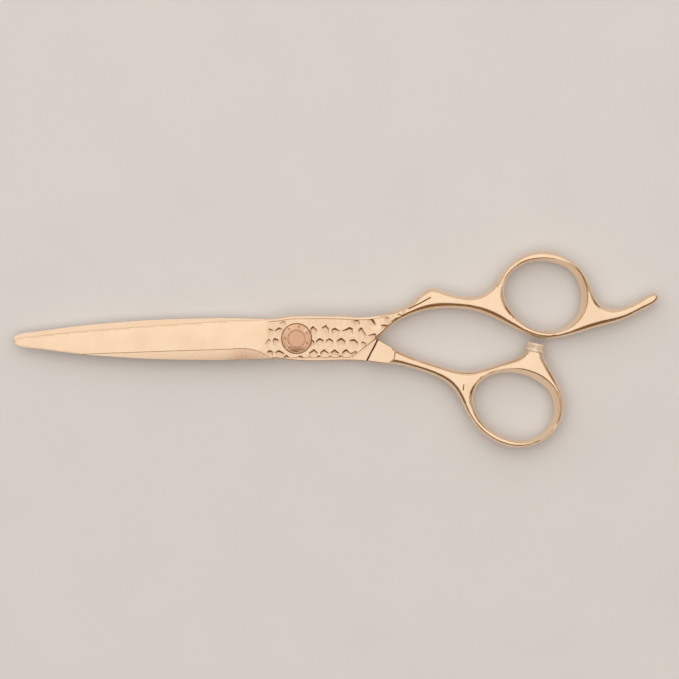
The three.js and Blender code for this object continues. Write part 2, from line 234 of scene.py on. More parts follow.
def layout(outer, holes, lines, layered_from, rows):
    """Points and triangles inside a loop: a fine grid, rows of points by the rim, and the crease lines."""
    loops = [outer, *holes]
    points, edges = [], []

    def add(run, closed):
        start = len(points)
        points.extend(run)
        n = len(run)
        edges.extend((start + i, start + (i + 1) % n) for i in range(n if closed else n - 1))

    for loop in loops:
        add(loop, True)
    for run in lines:
        add(run, False)
    creases = np.vstack([line(run, 0.1) for run in lines])
    cells = {}
    for p in map(tuple, creases):
        cells.setdefault(cells_at(p, CREASE_CELL)[0], []).append(p)

    def rim_gap(p):
        """Distance of each point to the nearest rim."""
        return np.min([distance(p, loop) for loop in loops], axis=0)

    free = []
    taken = {}

    def accept(candidates, crease_gap, spacing):
        """Keeps the points that stand clear of the creases and of those kept before."""
        for p in map(tuple, candidates):
            if is_clear(p, cells, CREASE_CELL, crease_gap) and is_clear(p, taken, POINT_CELL, spacing):
                taken.setdefault(cells_at(p, POINT_CELL)[0], []).append(p)
                free.append(p)

    for loop in loops:
        step = np.roll(loop, -1, axis=0) - np.roll(loop, 1, axis=0)
        normal = np.stack([-step[:, 1], step[:, 0]], axis=1)
        normal /= np.linalg.norm(normal, axis=1)[:, None]
        if not inside(loop[:1] + normal[:1] * 0.02, loops)[0]:
            normal = -normal
        for depth in LAYERS:
            row = loop + normal * depth
            row = row[row[:, 0] > layered_from]
            if not len(row):
                continue
            row = row[(rim_gap(row) > depth * 0.9) & inside(row, loops)]
            accept(row, max(0.06, depth * 0.35), 0.02)
    for row in rows:
        row = row[(rim_gap(row) > 0.1) & inside(row, loops)]
        accept(row, 0.06, 0.065)
    for x0, x1, step in ZONES:
        lo, hi = outer.min(0), outer.max(0)
        xs = np.arange(max(x0, lo[0]), min(x1, hi[0]), step)
        ys = np.arange(lo[1], hi[1], step * math.sqrt(3) / 2)
        gx, gy = np.meshgrid(xs, ys)
        gx[1::2] += step / 2
        grid = np.stack([gx.ravel(), gy.ravel()], axis=1)
        grid = grid[inside(grid, loops)]
        margin = np.where(grid[:, 0] > layered_from, LAYERS[-1] + step * 0.5, step * 0.6)
        grid = grid[rim_gap(grid) > margin]
        accept(grid, 0.45 * step, 0.5 * step)
    points.extend(free)
    vectors = [Vector((float(x), float(y))) for x, y in points]
    made = delaunay_2d_cdt(vectors, edges, [], 0, 1e-5, False)
    xy = np.array([(v.x, v.y) for v in made[0]])
    tri = np.array([f for f in made[2] if len(f) == 3])
    a, b, c = xy[tri[:, 0]], xy[tri[:, 1]], xy[tri[:, 2]]
    area = (b[:, 0] - a[:, 0]) * (c[:, 1] - a[:, 1]) - (b[:, 1] - a[:, 1]) * (c[:, 0] - a[:, 0])
    tri[area < 0] = tri[area < 0][:, ::-1]
    tri = tri[(abs(area) > 1e-9) & inside((a + b + c) / 3, loops)]
    used, tri = np.unique(tri, return_inverse=True)
    return xy[used], tri.reshape(-1, 3)


def swell(xy, tri, held):
    """How far across its section each point lies, from 0 at the rim to 1 at the crest, and the section's
    half width squared over 2. Both come from an evenly loaded membrane held at the rim."""
    n = len(xy)
    rows, cols, weights, load = [], [], [], np.zeros(n)
    for k in range(3):
        i, j, o = tri[:, (k + 1) % 3], tri[:, (k + 2) % 3], tri[:, k]
        a, b = xy[i] - xy[o], xy[j] - xy[o]
        area2 = np.maximum(abs(a[:, 0] * b[:, 1] - a[:, 1] * b[:, 0]), 1e-9)
        w = (a * b).sum(1) / area2 / 2
        rows += [i, j]
        cols += [j, i]
        weights += [w, w]
        load += np.bincount(o, area2 / 6, n)
    rows, cols, weights = map(np.concatenate, (rows, cols, weights))
    diagonal = np.bincount(rows, weights, n)
    free = ~held

    def apply(u):
        return np.where(free, diagonal * u - np.bincount(rows, weights * u[cols], n), 0)

    safe = np.where(diagonal > 1e-9, diagonal, 1)
    u = np.zeros(n)
    r = np.where(free, load, 0)
    z = r / safe
    p, rz = z.copy(), (r * z).sum()
    goal = rz * 1e-10
    for _ in range(4000):
        q = apply(p)
        alpha = rz / (p * q).sum()
        u += alpha * p
        r -= alpha * q
        z = r / safe
        new = (r * z).sum()
        if new < goal:
            break
        p = z + new / rz * p
        rz = new
    a, b, c = xy[tri[:, 0]], xy[tri[:, 1]], xy[tri[:, 2]]
    corners = u[tri][:, :, None] * np.stack([b - c, c - a, a - b], axis=1)
    slope2 = (corners.sum(1) ** 2).sum(1) / area2**2
    share, total = np.zeros(n), np.zeros(n)
    for k in range(3):
        share += np.bincount(tri[:, k], slope2 * area2, n)
        total += np.bincount(tri[:, k], area2, n)
    size = np.maximum(u, 0) + share / np.maximum(total, 1e-9) / 2
    count = np.maximum(np.bincount(rows, minlength=n), 1)
    for _ in range(50):
        size = (size + np.bincount(rows, size[cols], n) / count) / 2
    return np.clip(u / np.maximum(size, 1e-6), 0, 1), size


def rounded(section, half):
    """Half thickness of a handle: an oval section, flatter on top where it is wide."""
    share, size = section
    boxy = 0.4 + 0.3 * np.minimum(size, 12)
    return half * np.sqrt((1 - np.exp(-boxy * share)) / (1 - np.exp(-boxy)))


def wall_width(xy, hole, widths, side):
    """Width of a finger hole's sloping wall seen from one side. The hole leans, so it varies round it."""
    turn = np.arctan2(*(xy - hole.mean(0)).T[::-1])
    mean, right, up, oval = widths
    return mean + side * (right * np.cos(turn) + up * np.sin(turn)) + oval * np.cos(2 * turn)


def hole_wall(xy, hole, widths, half, side):
    """Half thickness over the sloping wall of a finger hole."""
    d = distance(xy, hole)
    return half / wall_width(xy, hole, widths, side) * np.sqrt(d * (d + 2 * WALL_SOFT))


def wall_rows(hole, widths):
    """Rows of points along both rims of a finger hole's wall, so that the mesh follows them."""
    step = np.roll(hole, -1, axis=0) - np.roll(hole, 1, axis=0)
    outward = np.stack([step[:, 1], -step[:, 0]], axis=1)
    outward /= np.linalg.norm(outward, axis=1)[:, None]
    if ((outward * (hole - hole.mean(0))).sum(1)).mean() < 0:
        outward = -outward
    rows = []
    for share in (0.93, 0.84, 1.02, 0.75, 1.12, 0.64, 1.24):
        for side in (1, -1):
            rows.append(hole + outward * (wall_width(hole, hole, widths, side) * share)[:, None])
    return rows


# ---- the blade, shared by both halves ----
BLADE_RUN = spline(BLADE, 0.35)
TIP = int(np.argmin(BLADE_RUN[:, 0]))
SPINE_CURVE = BLADE_RUN[: TIP + 1][::-1]
EDGE_CURVE = BLADE_RUN[TIP:]
RIDGE_CURVE = spline(RIDGE, 0.3)
EDGE_HEIGHT = 0.17
RIDGE_HEIGHTS = [(-75, 1.25), (-56.4, 1.85), (-13.6, 2.7), (-6, 2.78)]  # x, height over the meeting plane
FACE_CROWN = 0.3  # the face is steeper than its mean slope by this share at the edge
BEVEL_SLOPE = math.tan(math.radians(9.5))
BEVEL_CURVE = 0.02  # the bevel falls faster towards the spine
RIDGE_STEP, RIDGE_RUN = 0.16, 0.17  # the bevel starts a little below the face
PLUNGE = 0.02  # the spine bevel is ground steeper towards the heel
HOLLOW = 0.14  # depth of the hollow grind inside


def blade_top(x, y):
    """Height over the meeting plane of the outer side of an upper-layer blade."""
    edge, ridge = along(EDGE_CURVE, x), along(RIDGE_CURVE, x)
    heights = np.array(RIDGE_HEIGHTS)
    high = np.interp(x, heights[:, 0], heights[:, 1])
    t = np.clip((edge - y) / np.maximum(edge - ridge, 0.5), 0, 1)
    face = EDGE_HEIGHT + (high - EDGE_HEIGHT) * (t * (1 + FACE_CROWN) - FACE_CROWN * t * t)
    below = np.maximum(ridge - y, 0)
    drop = RIDGE_STEP * np.clip(below / RIDGE_RUN, 0, 1) * smooth(x, -57.5, -55.5)
    bevel = high - drop - BEVEL_SLOPE * below - BEVEL_CURVE * below**2
    bevel -= PLUNGE * below * smooth(x, -24, -12)
    return np.where(y < ridge, bevel, face)


def blade_inside(x, y):
    """Height over the meeting plane of the hollow-ground inner side."""
    edge, spine = along(EDGE_CURVE, x), along(SPINE_CURVE, x)
    t = np.clip((y - spine) / np.maximum(edge - 0.5 - spine, 0.3), 0, 1)
    fade = smooth(-x, 8.5, 14) * smooth(x, -73.5, -66)
    return LAP_GAP + HOLLOW * np.sin(math.pi * t) * fade


# ---- the scooped pattern on the body ----
SCOOP_LENGTH = 3.3
SCALLOP = 2.83  # pitch of the scallops along the body's lower edge
WALL_SLOPE = 0.75
DEPTH_SCALE = 0.85
# Each scoop falls away under a chevron: apex x and y, reach and drop of the left arm, the same of the
# right, and depth.
SCOOPS = [
    (-3.3, 4.75, 1.5, 0.9, 0.5, 0.8, 0.26), (16.2, 4.9, 2.1, 0.35, 0.5, 0.9, 0.26),
    (-7.2, 2.7, 0.7, 0.3, 1.4, 0.6, 0.35), (-4.64, 2.95, 1.15, 0.8, 1.35, 0.5, 0.5),
    (4.34, 3.3, 0.75, 0.55, 1.15, 1.05, 0.6), (7.73, 3.6, 1.25, 0.8, 0.85, 1.3, 0.6),
    (10.08, 2.85, 0.95, 0.35, 1.5, 0.9, 0.55), (13.9, 3.1, 2.3, 1.2, 0.95, 0.5, 0.75),
    (17.04, 3.0, 1.0, 0.6, 1.25, 2.1, 0.62), (20.5, 1.4, 2.2, 0.6, 0.5, 0.4, 0.4),
    (-7.4, -0.1, 0.9, 1.3, 0.7, 0.2, 0.3), (-5.6, 0.25, 0.7, 0.5, 1.1, 0.7, 0.5),
    (4.1, -0.2, 0.4, 0.3, 0.7, 0.7, 0.5), (6.09, 0.18, 1.15, 0.75, 1.1, 0.65, 0.6),
    (8.67, 0.15, 1.1, 0.6, 1.1, 0.85, 0.55), (11.68, 0.3, 1.3, 0.9, 1.25, 1.0, 0.65),
    (15.1, -0.05, 1.6, 0.5, 1.1, 1.0, 0.62), (17.6, -0.75, 0.8, 0.2, 0.8, 0.7, 0.36),
    (-6.85, -3.0, 1.1, 0.4, 0.8, 0.5, 0.5), (-4.53, -2.95, 1.3, 0.7, 1.35, 0.9, 0.6),
    (4.56, -2.72, 1.5, 1.1, 1.1, 1.0, 0.6), (7.23, -2.75, 1.1, 0.85, 1.4, 1.15, 0.6),
    (10.03, -2.78, 1.3, 0.85, 1.2, 1.0, 0.56), (12.99, -2.72, 1.2, 0.85, 1.2, 1.05, 0.58),
    (15.4, -3.2, 1.7, 0.9, 0.9, 0.3, 0.5), (-2.67, -4.3, 0.7, 0.4, 0.7, 0.4, 0.3),
    (1.05, -4.35, 0.8, 0.4, 0.7, 0.4, 0.35), (3.5, -4.45, 0.5, 0.3, 0.5, 0.3, 0.25),
    (5.87, -4.35, 0.8, 0.4, 0.8, 0.4, 0.35), (8.75, -4.45, 0.5, 0.3, 0.6, 0.3, 0.25),
    (11.57, -4.35, 0.8, 0.4, 0.8, 0.4, 0.35),
]
# The loose ones along the shank: apex x and y, direction (degrees), reach, drop, length, depth.
LOOSE_SCOOPS = [
    (20.35, 4.85, 218, 1.5, 0.5, 2.4, 0.85),
    (23.2, 3.65, 262, 1.15, 0.2, 1.2, 0.42),
    (23.75, 5.7, 270, 0.75, 0.4, 1.3, 0.42),
    (25.3, 4.35, 275, 0.7, 0.2, 1.0, 0.34),
    (27.0, 6.55, 250, 0.6, 0.3, 1.0, 0.3),
    (28.2, 7.4, 255, 0.45, 0.25, 0.8, 0.2),
]


def scoops():
    """Every scoop: apex, direction, reach and drop of both arms, length, depth and lean of its floor."""
    chance = np.random.default_rng(7)
    out = [(*scoop[:2], 270, *scoop[2:6], SCOOP_LENGTH, scoop[6]) for scoop in SCOOPS]
    out += [(*scoop[:3], *scoop[3:5], *scoop[3:5], *scoop[5:]) for scoop in LOOSE_SCOOPS]
    return [(*scoop, chance.uniform(-0.4, 0.4)) for scoop in out]


def scoop_frame(scoop):
    ax, ay, turn = scoop[:3]
    opening = np.array([math.cos(math.radians(turn)), math.sin(math.radians(turn))])
    return np.array([ax, ay]), opening, np.array([-opening[1], opening[0]])


def scoop_depth(xy):
    """Depth of the pattern at each point, how much of it is a wall, and the painted shade of the floor under
    the wall.
    Every scoop falls away under its chevron and runs out to the surface."""
    depth, wall, tone = np.zeros((3, len(xy)))
    for i, scoop in enumerate(scoops()):
        apex, opening, side = scoop_frame(scoop)
        left, left_drop, right, right_drop, length, deep, lean = scoop[3:]
        deep *= DEPTH_SCALE
        u, v = (xy - apex) @ side, (xy - apex) @ opening
        u = np.where(u > 0, u / right, u / left)
        v = v - abs(u) * np.where(u > 0, right_drop, left_drop)
        own = deep * (1 - np.minimum(abs(u), 1) ** 2) ** 1.35 * (1 + lean * np.clip(u, -1, 1))
        floor = own * (1 - np.clip(v / length, 0, 1)) ** 1.4
        rise = np.maximum(v, 0) * WALL_SLOPE
        within = (abs(u) <= 1) & (v >= 0)
        share = np.clip(rise / np.maximum(own, 0.02), 0, 1)
        wall = np.maximum(wall, within * 4 * share * (1 - share) * np.clip(own / 0.2, 0, 1))
        depth = np.maximum(depth, within * soft_min(rise, floor, 0.06))
        # Painted shade on the floor just under each wall, of a strength that changes from scoop to scoop.
        patch = np.clip(1 - u * u, 0, 1) * np.exp(-np.maximum(v, 0) / 0.9)
        tone = np.maximum(tone, within * patch * (0.3 + 0.35 * (i * 5 % 7) / 6))
    return depth, wall, tone


def scoop_lines():
    lines = []
    for scoop in scoops():
        apex, opening, side = scoop_frame(scoop)
        left, left_drop, right, right_drop, length, deep, lean = scoop[3:]
        deep *= DEPTH_SCALE
        u = np.linspace(-1, 1, 13)
        own = deep * (1 - u**2) ** 1.35 * (1 + lean * u)
        drop = abs(u) * np.where(u > 0, right_drop, left_drop)
        for v in (np.zeros(13), own * 0.9 / WALL_SLOPE):
            sideways = np.outer(u * np.where(u > 0, right, left), side)
            lines.append(apex + sideways + np.outer(drop + v, opening))
    return lines


def dapple(xy, cell):
    """Smooth uneven heights from -1 to 1: a random lattice, blended between its points."""
    lattice = np.random.default_rng(3).uniform(-1, 1, (97, 89))
    i = np.floor(xy / cell).astype(int)
    f = xy / cell - i
    f = f * f * (3 - 2 * f)
    corner = [[lattice[(i[:, 0] + a) % 97, (i[:, 1] + b) % 89] for b in (0, 1)] for a in (0, 1)]
    near = corner[0][0] * (1 - f[:, 1]) + corner[0][1] * f[:, 1]
    far = corner[1][0] * (1 - f[:, 1]) + corner[1][1] * f[:, 1]
    return near * (1 - f[:, 0]) + far * f[:, 0]


# ---- meshes ----
WELD = 0.012  # a rim thinner than this closes to one edge
SHARP_ANGLE = math.radians(32)


def solid_mesh(name, xy, tri, top, bottom, materials, kind, painted_shade):
    """A closed mesh from a layout and the heights of its two sides. kind gives each face's material
    number, and the last argument how much painted shade each point of the upper side gets."""
    n = len(xy)
    gap = top - bottom
    bottom = np.minimum(bottom, top)
    directed = np.concatenate([tri[:, [0, 1]], tri[:, [1, 2]], tri[:, [2, 0]]])
    keys = directed[:, 0] * n + directed[:, 1]
    back = directed[:, 1] * n + directed[:, 0]
    rim_edges = directed[~np.isin(keys, back)]
    on_rim = np.zeros(n, bool)
    on_rim[rim_edges.ravel()] = True
    welded = on_rim & (gap < WELD)
    middle = (top + bottom) / 2
    top = np.where(welded, middle, top)
    low = np.where(welded, np.arange(n), np.arange(n) + n)
    verts = np.vstack([np.column_stack([xy, top]), np.column_stack([xy, bottom])]) * MM
    faces = [tuple(t) for t in tri.tolist()]
    tags = kind(xy[tri].mean(1), "top")
    under = low[tri][:, ::-1]
    faces += [tuple(t) for t in under.tolist()]
    tags += kind(xy[tri].mean(1), "bottom")
    wall_tags = kind(xy[rim_edges].mean(1), "wall")
    for (a, b), tag in zip(rim_edges.tolist(), wall_tags):
        ring = [b, a, int(low[a]), int(low[b])]
        ring = [v for i, v in enumerate(ring) if v != ring[i - 1]]
        if len(set(ring)) > 2:
            faces.append(tuple(dict.fromkeys(ring)))
            tags.append(tag)
    used = np.unique(np.concatenate([np.array(f) for f in faces]))
    index = np.zeros(2 * n, int)
    index[used] = np.arange(len(used))
    mesh = bpy.data.meshes.new(name)
    mesh.from_pydata(verts[used].tolist(), [], [[int(index[v]) for v in f] for f in faces])
    # How much painted shade each point gets, kept as a point attribute for the materials.
    values = np.concatenate([painted_shade, np.zeros(n)])
    mesh.attributes.new("painted_shade", "FLOAT", "POINT").data.foreach_set("value", values[used].astype(np.float32))
    return finished(name, mesh, materials, tags)


def new_object(name, data):
    obj = bpy.data.objects.new(name, data)
    bpy.context.scene.collection.objects.link(obj)
    return obj


def finished(name, mesh, materials, tags=None):
    """Turns the faces outwards, adds the materials and makes the object. tags: material of each face."""
    corners = ([mesh.vertices[v].co for v in f.vertices[:3]] for f in mesh.polygons)
    if sum(a.dot(b.cross(c)) for a, b, c in corners) < 0:
        mesh.flip_normals()
    for material in materials:
        mesh.materials.append(material)
    if tags is not None:
        mesh.polygons.foreach_set("material_index", np.array(tags, np.int32))
    mesh.validate(clean_customdata=False)
    mesh.update()
    mesh.shade_smooth()
    mesh.set_sharp_from_angle(angle=SHARP_ANGLE)
    return new_object(name, mesh)


def lathe(name, profile, around, materials, shape=None, closed=True):
    """A turned mesh about Z from (radius, z) points in millimetres. shape may move its (x, y, z) array."""
    p = np.array(profile, float)
    t = np.arange(around) / around * 2 * math.pi
    rings, verts = [], []
    for r, z in p:
        start = len(verts)
        if r < 1e-6:
            verts.append((0, 0, z))
            rings.append([start] * around)
        else:
            verts.extend((r * math.cos(a), r * math.sin(a), z) for a in t)
            rings.append(list(range(start, start + around)))
    verts = np.array(verts)
    if shape is not None:
        verts = shape(verts)
    faces = []
    pairs = list(zip(range(len(p)), list(range(1, len(p))) + ([0] if closed else [])))
    for i, j in pairs:
        for k in range(around):
            m = (k + 1) % around
            ring = list(dict.fromkeys([rings[i][k], rings[i][m], rings[j][m], rings[j][k]]))
            if len(ring) > 2:
                faces.append(ring)
    mesh = bpy.data.meshes.new(name)
    mesh.from_pydata((verts * MM).tolist(), [], faces)
    return finished(name, mesh, materials)


def rounded_profile(corners, radii, steps=6):
    """A (radius, z) profile whose corners are rounded."""
    out = []
    c = [np.array(p, float) for p in corners]
    for i, (p, r) in enumerate(zip(c, radii)):
        if r == 0:
            out.append(tuple(p))
            continue
        before, after = c[i - 1] - p, c[(i + 1) % len(c)] - p
        before, after = before / np.linalg.norm(before), after / np.linalg.norm(after)
        for t in np.linspace(0, 1, steps + 1):
            s, e = p + before * r, p + after * r
            out.append(tuple((1 - t) ** 2 * s + 2 * t * (1 - t) * p + t * t * e))
    return out


# ---- materials ----
def node_material(name):
    material = bpy.data.materials.new(name)
    material.use_nodes = True
    tree = material.node_tree
    return material, tree, tree.nodes["Principled BSDF"]


def feed(tree, node, inputs):
    """Links the inputs that are given a socket and sets the others."""
    for key, value in inputs.items():
        if isinstance(value, bpy.types.NodeSocket):
            tree.links.new(value, node.inputs[key])
        else:
            node.inputs[key].default_value = value


def add(tree, kind, inputs=None, **settings):
    node = tree.nodes.new(kind)
    for key, value in settings.items():
        setattr(node, key, value)
    feed(tree, node, inputs or {})
    return node


def ramp(tree, factor, stops):
    node = add(tree, "ShaderNodeValToRGB", {"Fac": factor})
    elements = node.color_ramp.elements
    while len(elements) < len(stops):
        elements.new(0.5)
    for element, (place, value) in zip(elements, stops):
        element.position = place
        element.color = value if len(value) == 4 else (*value, 1)
    return node.outputs["Color"]


def ranged(tree, value, lo, hi, out_lo, out_hi):
    return add(tree, "ShaderNodeMapRange", {
        "Value": value, "From Min": lo, "From Max": hi, "To Min": out_lo, "To Max": out_hi,
    }).outputs["Result"]


def noise(tree, vector, scale, detail=4.0, roughness=0.55):
    return add(tree, "ShaderNodeTexNoise", {
        "Vector": vector, "Scale": scale, "Detail": detail, "Roughness": roughness,
    }).outputs["Fac"]


def stretched(tree, vector, scale, turn=0.0):
    return add(tree, "ShaderNodeMapping", {
        "Vector": vector, "Scale": scale, "Rotation": (0, 0, turn),
    }).outputs["Vector"]


def math_node(tree, operation, a, b=0.0):
    return add(tree, "ShaderNodeMath", {0: a, 1: b}, operation=operation).outputs["Value"]


def mixed(tree, share, under, over):
    """A colour with a share of a second, plain colour over it."""
    inputs = {"Factor": share, "A": under, "B": (*over, 1)}
    return add(tree, "ShaderNodeMix", inputs, data_type="RGBA").outputs["Result"]


def metal(name, dark, light, rough, streaks=None, streak_bump=0.0, wear=None, tint=0.35, shade_tint=None):
    """Plated or ground steel: cloudy tone, fine scratches, streaks of the finish, brighter worn edges, and
    painted shade from a point attribute of the mesh.
    """
    material, tree, shader = node_material(name)
    place = add(tree, "ShaderNodeTexCoord").outputs["Object"]
    cloud = noise(tree, place, 160, 5)
    dull = dark if streaks is not fan else GOLD_DARK
    colour = ramp(tree, cloud, [(0.3, dull), (0.7, light)])
    scratch = noise(tree, stretched(tree, place, (900, 9000, 900), 0.5), 1.0, 3)
    scratch2 = noise(tree, stretched(tree, place, (9000, 700, 900), 0.3), 1.0, 3)
    halves = [math_node(tree, "MULTIPLY", value, 0.5) for value in (scratch, scratch2)]
    fine = math_node(tree, "ADD", *halves)
    roughness = ranged(tree, cloud, 0.3, 0.7, rough[0], rough[1])
    height = fine
    if streaks is not None:
        lines = streaks(tree, place)
        height = math_node(tree, "ADD", fine, math_node(tree, "MULTIPLY", lines, streak_bump))
        colour = mixed(tree, ranged(tree, lines, 0.35, 0.65, 0.0, tint), colour, dark)
    if wear is not None:
        edge = add(tree, "ShaderNodeNewGeometry").outputs["Pointiness"]
        colour = mixed(tree, ranged(tree, edge, 0.53, 0.6, 0.0, 0.55), colour, wear)
    # Painted shade: a point attribute of the mesh darkens the colour towards the given shade colour, unevenly
    # with the cloud, and roughens it a little.
    if shade_tint is not None:
        held = add(tree, "ShaderNodeAttribute", attribute_name="painted_shade").outputs["Fac"]
        uneven = math_node(tree, "MULTIPLY", held, ranged(tree, cloud, 0.3, 0.7, 0.6, 1.0))
        colour = mixed(tree, uneven, colour, shade_tint)
        roughness = math_node(tree, "ADD", roughness, math_node(tree, "MULTIPLY", held, 0.12))
    bump = add(tree, "ShaderNodeBump", {"Height": height, "Strength": 0.12, "Distance": 0.00002})
    feed(tree, shader, {
        "Base Color": colour, "Roughness": roughness, "Normal": bump.outputs["Normal"], "Metallic": 1.0,
    })
    return material


def lengthwise(tree, place):
    return noise(tree, stretched(tree, place, (120, 9000, 400)), 1.0, 4)


def crosswise(tree, place):
    return noise(tree, stretched(tree, place, (7000, 160, 400)), 1.0, 4)


def fan(tree, place):
    """Streaks that fan out from a point below the heel, as a grinding wheel leaves them."""
    parts = add(tree, "ShaderNodeSeparateXYZ", {"Vector": place})
    dx = math_node(tree, "SUBTRACT", parts.outputs["X"], -0.0125)
    dy = math_node(tree, "SUBTRACT", parts.outputs["Y"], -0.0105)
    angle = math_node(tree, "ARCTAN2", dy, dx)
    spread = add(tree, "ShaderNodeCombineXYZ", {"X": math_node(tree, "MULTIPLY", angle, 26.0)})
    streak = noise(tree, spread.outputs["Vector"], 1.0, 4)
    near_heel = ranged(tree, parts.outputs["X"], -0.027, -0.015, 0.0, 1.0)
    return math_node(tree, "MULTIPLY", streak, near_heel)


def rings(tree, place):
    """Fine turning rings round the pivot axis."""
    parts = add(tree, "ShaderNodeSeparateXYZ", {"Vector": place})
    squares = [math_node(tree, "MULTIPLY", parts.outputs[k], parts.outputs[k]) for k in "XY"]
    radius = math_node(tree, "SQRT", math_node(tree, "ADD", *squares))
    out = add(tree, "ShaderNodeCombineXYZ", {"X": math_node(tree, "MULTIPLY", radius, 6500.0)})
    return noise(tree, out.outputs["Vector"], 1.0, 3)


def moulded(name, dark, light, rough):
    """Moulded plastic: mottled tone, a little light under the surface, fine grain."""
    material, tree, shader = node_material(name)
    place = add(tree, "ShaderNodeTexCoord").outputs["Object"]
    cloud = noise(tree, place, 900, 6)
    bump = add(tree, "ShaderNodeBump", {
        "Height": noise(tree, place, 4000, 4), "Strength": 0.35, "Distance": 0.00003,
    })
    feed(tree, shader, {
        "Base Color": ramp(tree, cloud, [(0.35, dark), (0.65, light)]),
        "Roughness": ranged(tree, cloud, 0.3, 0.7, rough[0], rough[1]), "Normal": bump.outputs["Normal"],
        "Subsurface Weight": 0.12, "Subsurface Radius": (0.001, 0.0006, 0.0004),
    })
    return material


GOLD_DARK, GOLD_LIGHT, GOLD_WORN = (0.9, 0.69, 0.485), (0.97, 0.77, 0.565), (0.98, 0.82, 0.64)
# Brown painted into hollows, creases and seats where shade falls.
SHADE_BROWN = (0.42, 0.22, 0.11)
polish = metal("rose_gold_polished", GOLD_DARK, GOLD_LIGHT, (0.15, 0.22), wear=GOLD_WORN, shade_tint=SHADE_BROWN)
satin = metal("rose_gold_satin", (0.9, 0.69, 0.49), (0.97, 0.78, 0.575), (0.26, 0.32), crosswise, 0.6,
              shade_tint=SHADE_BROWN)
fan_ground = metal("rose_gold_fan_ground", (0.76, 0.46, 0.34), GOLD_LIGHT, (0.24, 0.32), fan, 2.0, tint=0.9,
                   shade_tint=SHADE_BROWN)
inner_ground = metal("rose_gold_inner_ground", (0.9, 0.68, 0.48), (0.96, 0.76, 0.56), (0.22, 0.3),
                     lengthwise, 0.8, shade_tint=SHADE_BROWN)
turned_gold = metal("rose_gold_turned", (0.74, 0.47, 0.3), (0.84, 0.57, 0.39), (0.22, 0.32), rings, 1.0,
                    wear=GOLD_WORN)
turned_copper = metal("copper_rose_turned", (0.68, 0.41, 0.27), (0.8, 0.52, 0.36), (0.28, 0.38), rings, 1.2)
bronze = metal("bronze_bushing", (0.42, 0.24, 0.1), (0.55, 0.34, 0.15), (0.35, 0.5), rings, 0.8)
race_steel = metal("race_steel", (0.5, 0.51, 0.53), (0.62, 0.63, 0.65), (0.12, 0.2))
leaf_steel = metal("leaf_steel", (0.42, 0.43, 0.45), (0.55, 0.56, 0.58), (0.25, 0.4), lengthwise, 0.8)
bumper_plastic = moulded("bumper_nylon", (0.62, 0.48, 0.33), (0.9, 0.79, 0.62), (0.3, 0.45))
cage_plastic = moulded("cage_nylon", (0.6, 0.57, 0.48), (0.7, 0.67, 0.58), (0.4, 0.55))
washer_plastic = moulded("washer_plastic", (0.78, 0.76, 0.7), (0.86, 0.84, 0.78), (0.35, 0.5))

# ---- the two halves ----
HANDLE_HALF = 2.97  # half thickness of the handles at their crest
WALL_SOFT = 0.12  # rounding where a finger hole's wall leaves the middle plane
RIM_SOFT = 0.3  # rounding between a handle and its finger hole's wall
REST_THIN, REST_RUN = 0.9, (77, 95)  # how much thinner the finger rest gets, and from x to x
BODY_RIM = 0.5  # radii of the body's rims: sides, lower edge and end
LOW_RIM = 0.22
END_RIM = 0.35
FIELD_EDGE = 0.75  # plain strip between the body's side and the pattern
FIELD_RUN = 0.1
FIELD_SUNK = 0.09
FIELD_END = (27.5, 29.5)  # x over which the pattern fades out
FINGER_BLEND = (17.5, 28.5)  # x over which the flat body turns into the oval handle
THUMB_BLEND = (19, 31)  # the same under the thumb half
NECK_THIN, NECK_RUN = 0.22, (25, 44)  # the thumb half is thinner before its shank
PLATEAU_RUN = 0.24  # width of the fall from the thumb half's plateau
SHOULDER_RUN = 0.22  # width of the thumb half's slanted step
TRENCH, TRENCH_DEPTH = 0.16, 0.5  # half width and depth of the groove at the foot of that step
SEAT = {"radius": 4.02, "floor": 4.4}
RECESS = {"radius": 4.0, "floor": 3.28}
HEAD_SEAT = {"radius": 4.0, "floor": 2.0}
STEP, SEAT_STEP = 0.05, 0.025  # half the width that a straight wall and a round seat's wall stand on
FINGER_WALL = (1.01, 0.6, 0.22, 0.29)  # mean width, lean to the right, lean up, oval share
THUMB_WALL = (1.1, 0.6, 0.45, 0.17)
RIDGE_FROM = -57  # the ridge is a crease from here to the heel
GROUNDS = [polish, satin, fan_ground, inner_ground]
FINGER_CREASE = [(29.6, 7.9), (32.2, 9.2), (34.9, 10.7)]  # short grooves cut into the handles
THUMB_CREASE = [(43.85, -12.15), (43.75, -12.7), (43.7, -13.3)]


def handle_side(xy, tri, held, hole, widths, half, side):
    """Half thickness of a handle and its ring on one side."""
    body = rounded(swell(xy, tri, held | (distance(xy, hole) < ON_LINE)), half)
    return soft_min(body, hole_wall(xy, hole, widths, half, side), RIM_SOFT)


def cut(xy, crease, depth, width):
    """Depth of a short groove along a crease, with sides that slope over width."""
    return depth * np.clip(1 - distance(xy, spline(crease, 0.2), closed=False) / width, 0, 1)


def two_lines(table, step):
    """A border given across y, as two close lines that a wall stands between."""
    return [line([(x + s, y) for x, y in table], step) for s in (-STEP, STEP)]


def ring_lines(radius):
    """Two close circles that the wall of a round seat stands between."""
    out = []
    for r in (radius - SEAT_STEP, radius + SEAT_STEP):
        loop = circle(r, 120)
        out.append(np.vstack([loop, loop[:1]]))
    return out


def low_edge():
    """The body's lower edge, scalloped where the scoops run out over it."""
    x = np.arange(FINGER_END[0] - 0.2, FINGER_LOW_HEEL[0] + 0.1, -0.14)
    base = np.interp(x, [FINGER_LOW_HEEL[0], FINGER_END[0]], [-4.9, -4.72])
    arc = abs(np.sin(math.pi * (x - 14.54) / SCALLOP)) ** 0.85
    fade = smooth(x, -6.4, -4.5)
    return np.column_stack([x, base - 0.3 * arc * fade - 0.18 * (1 - fade)])


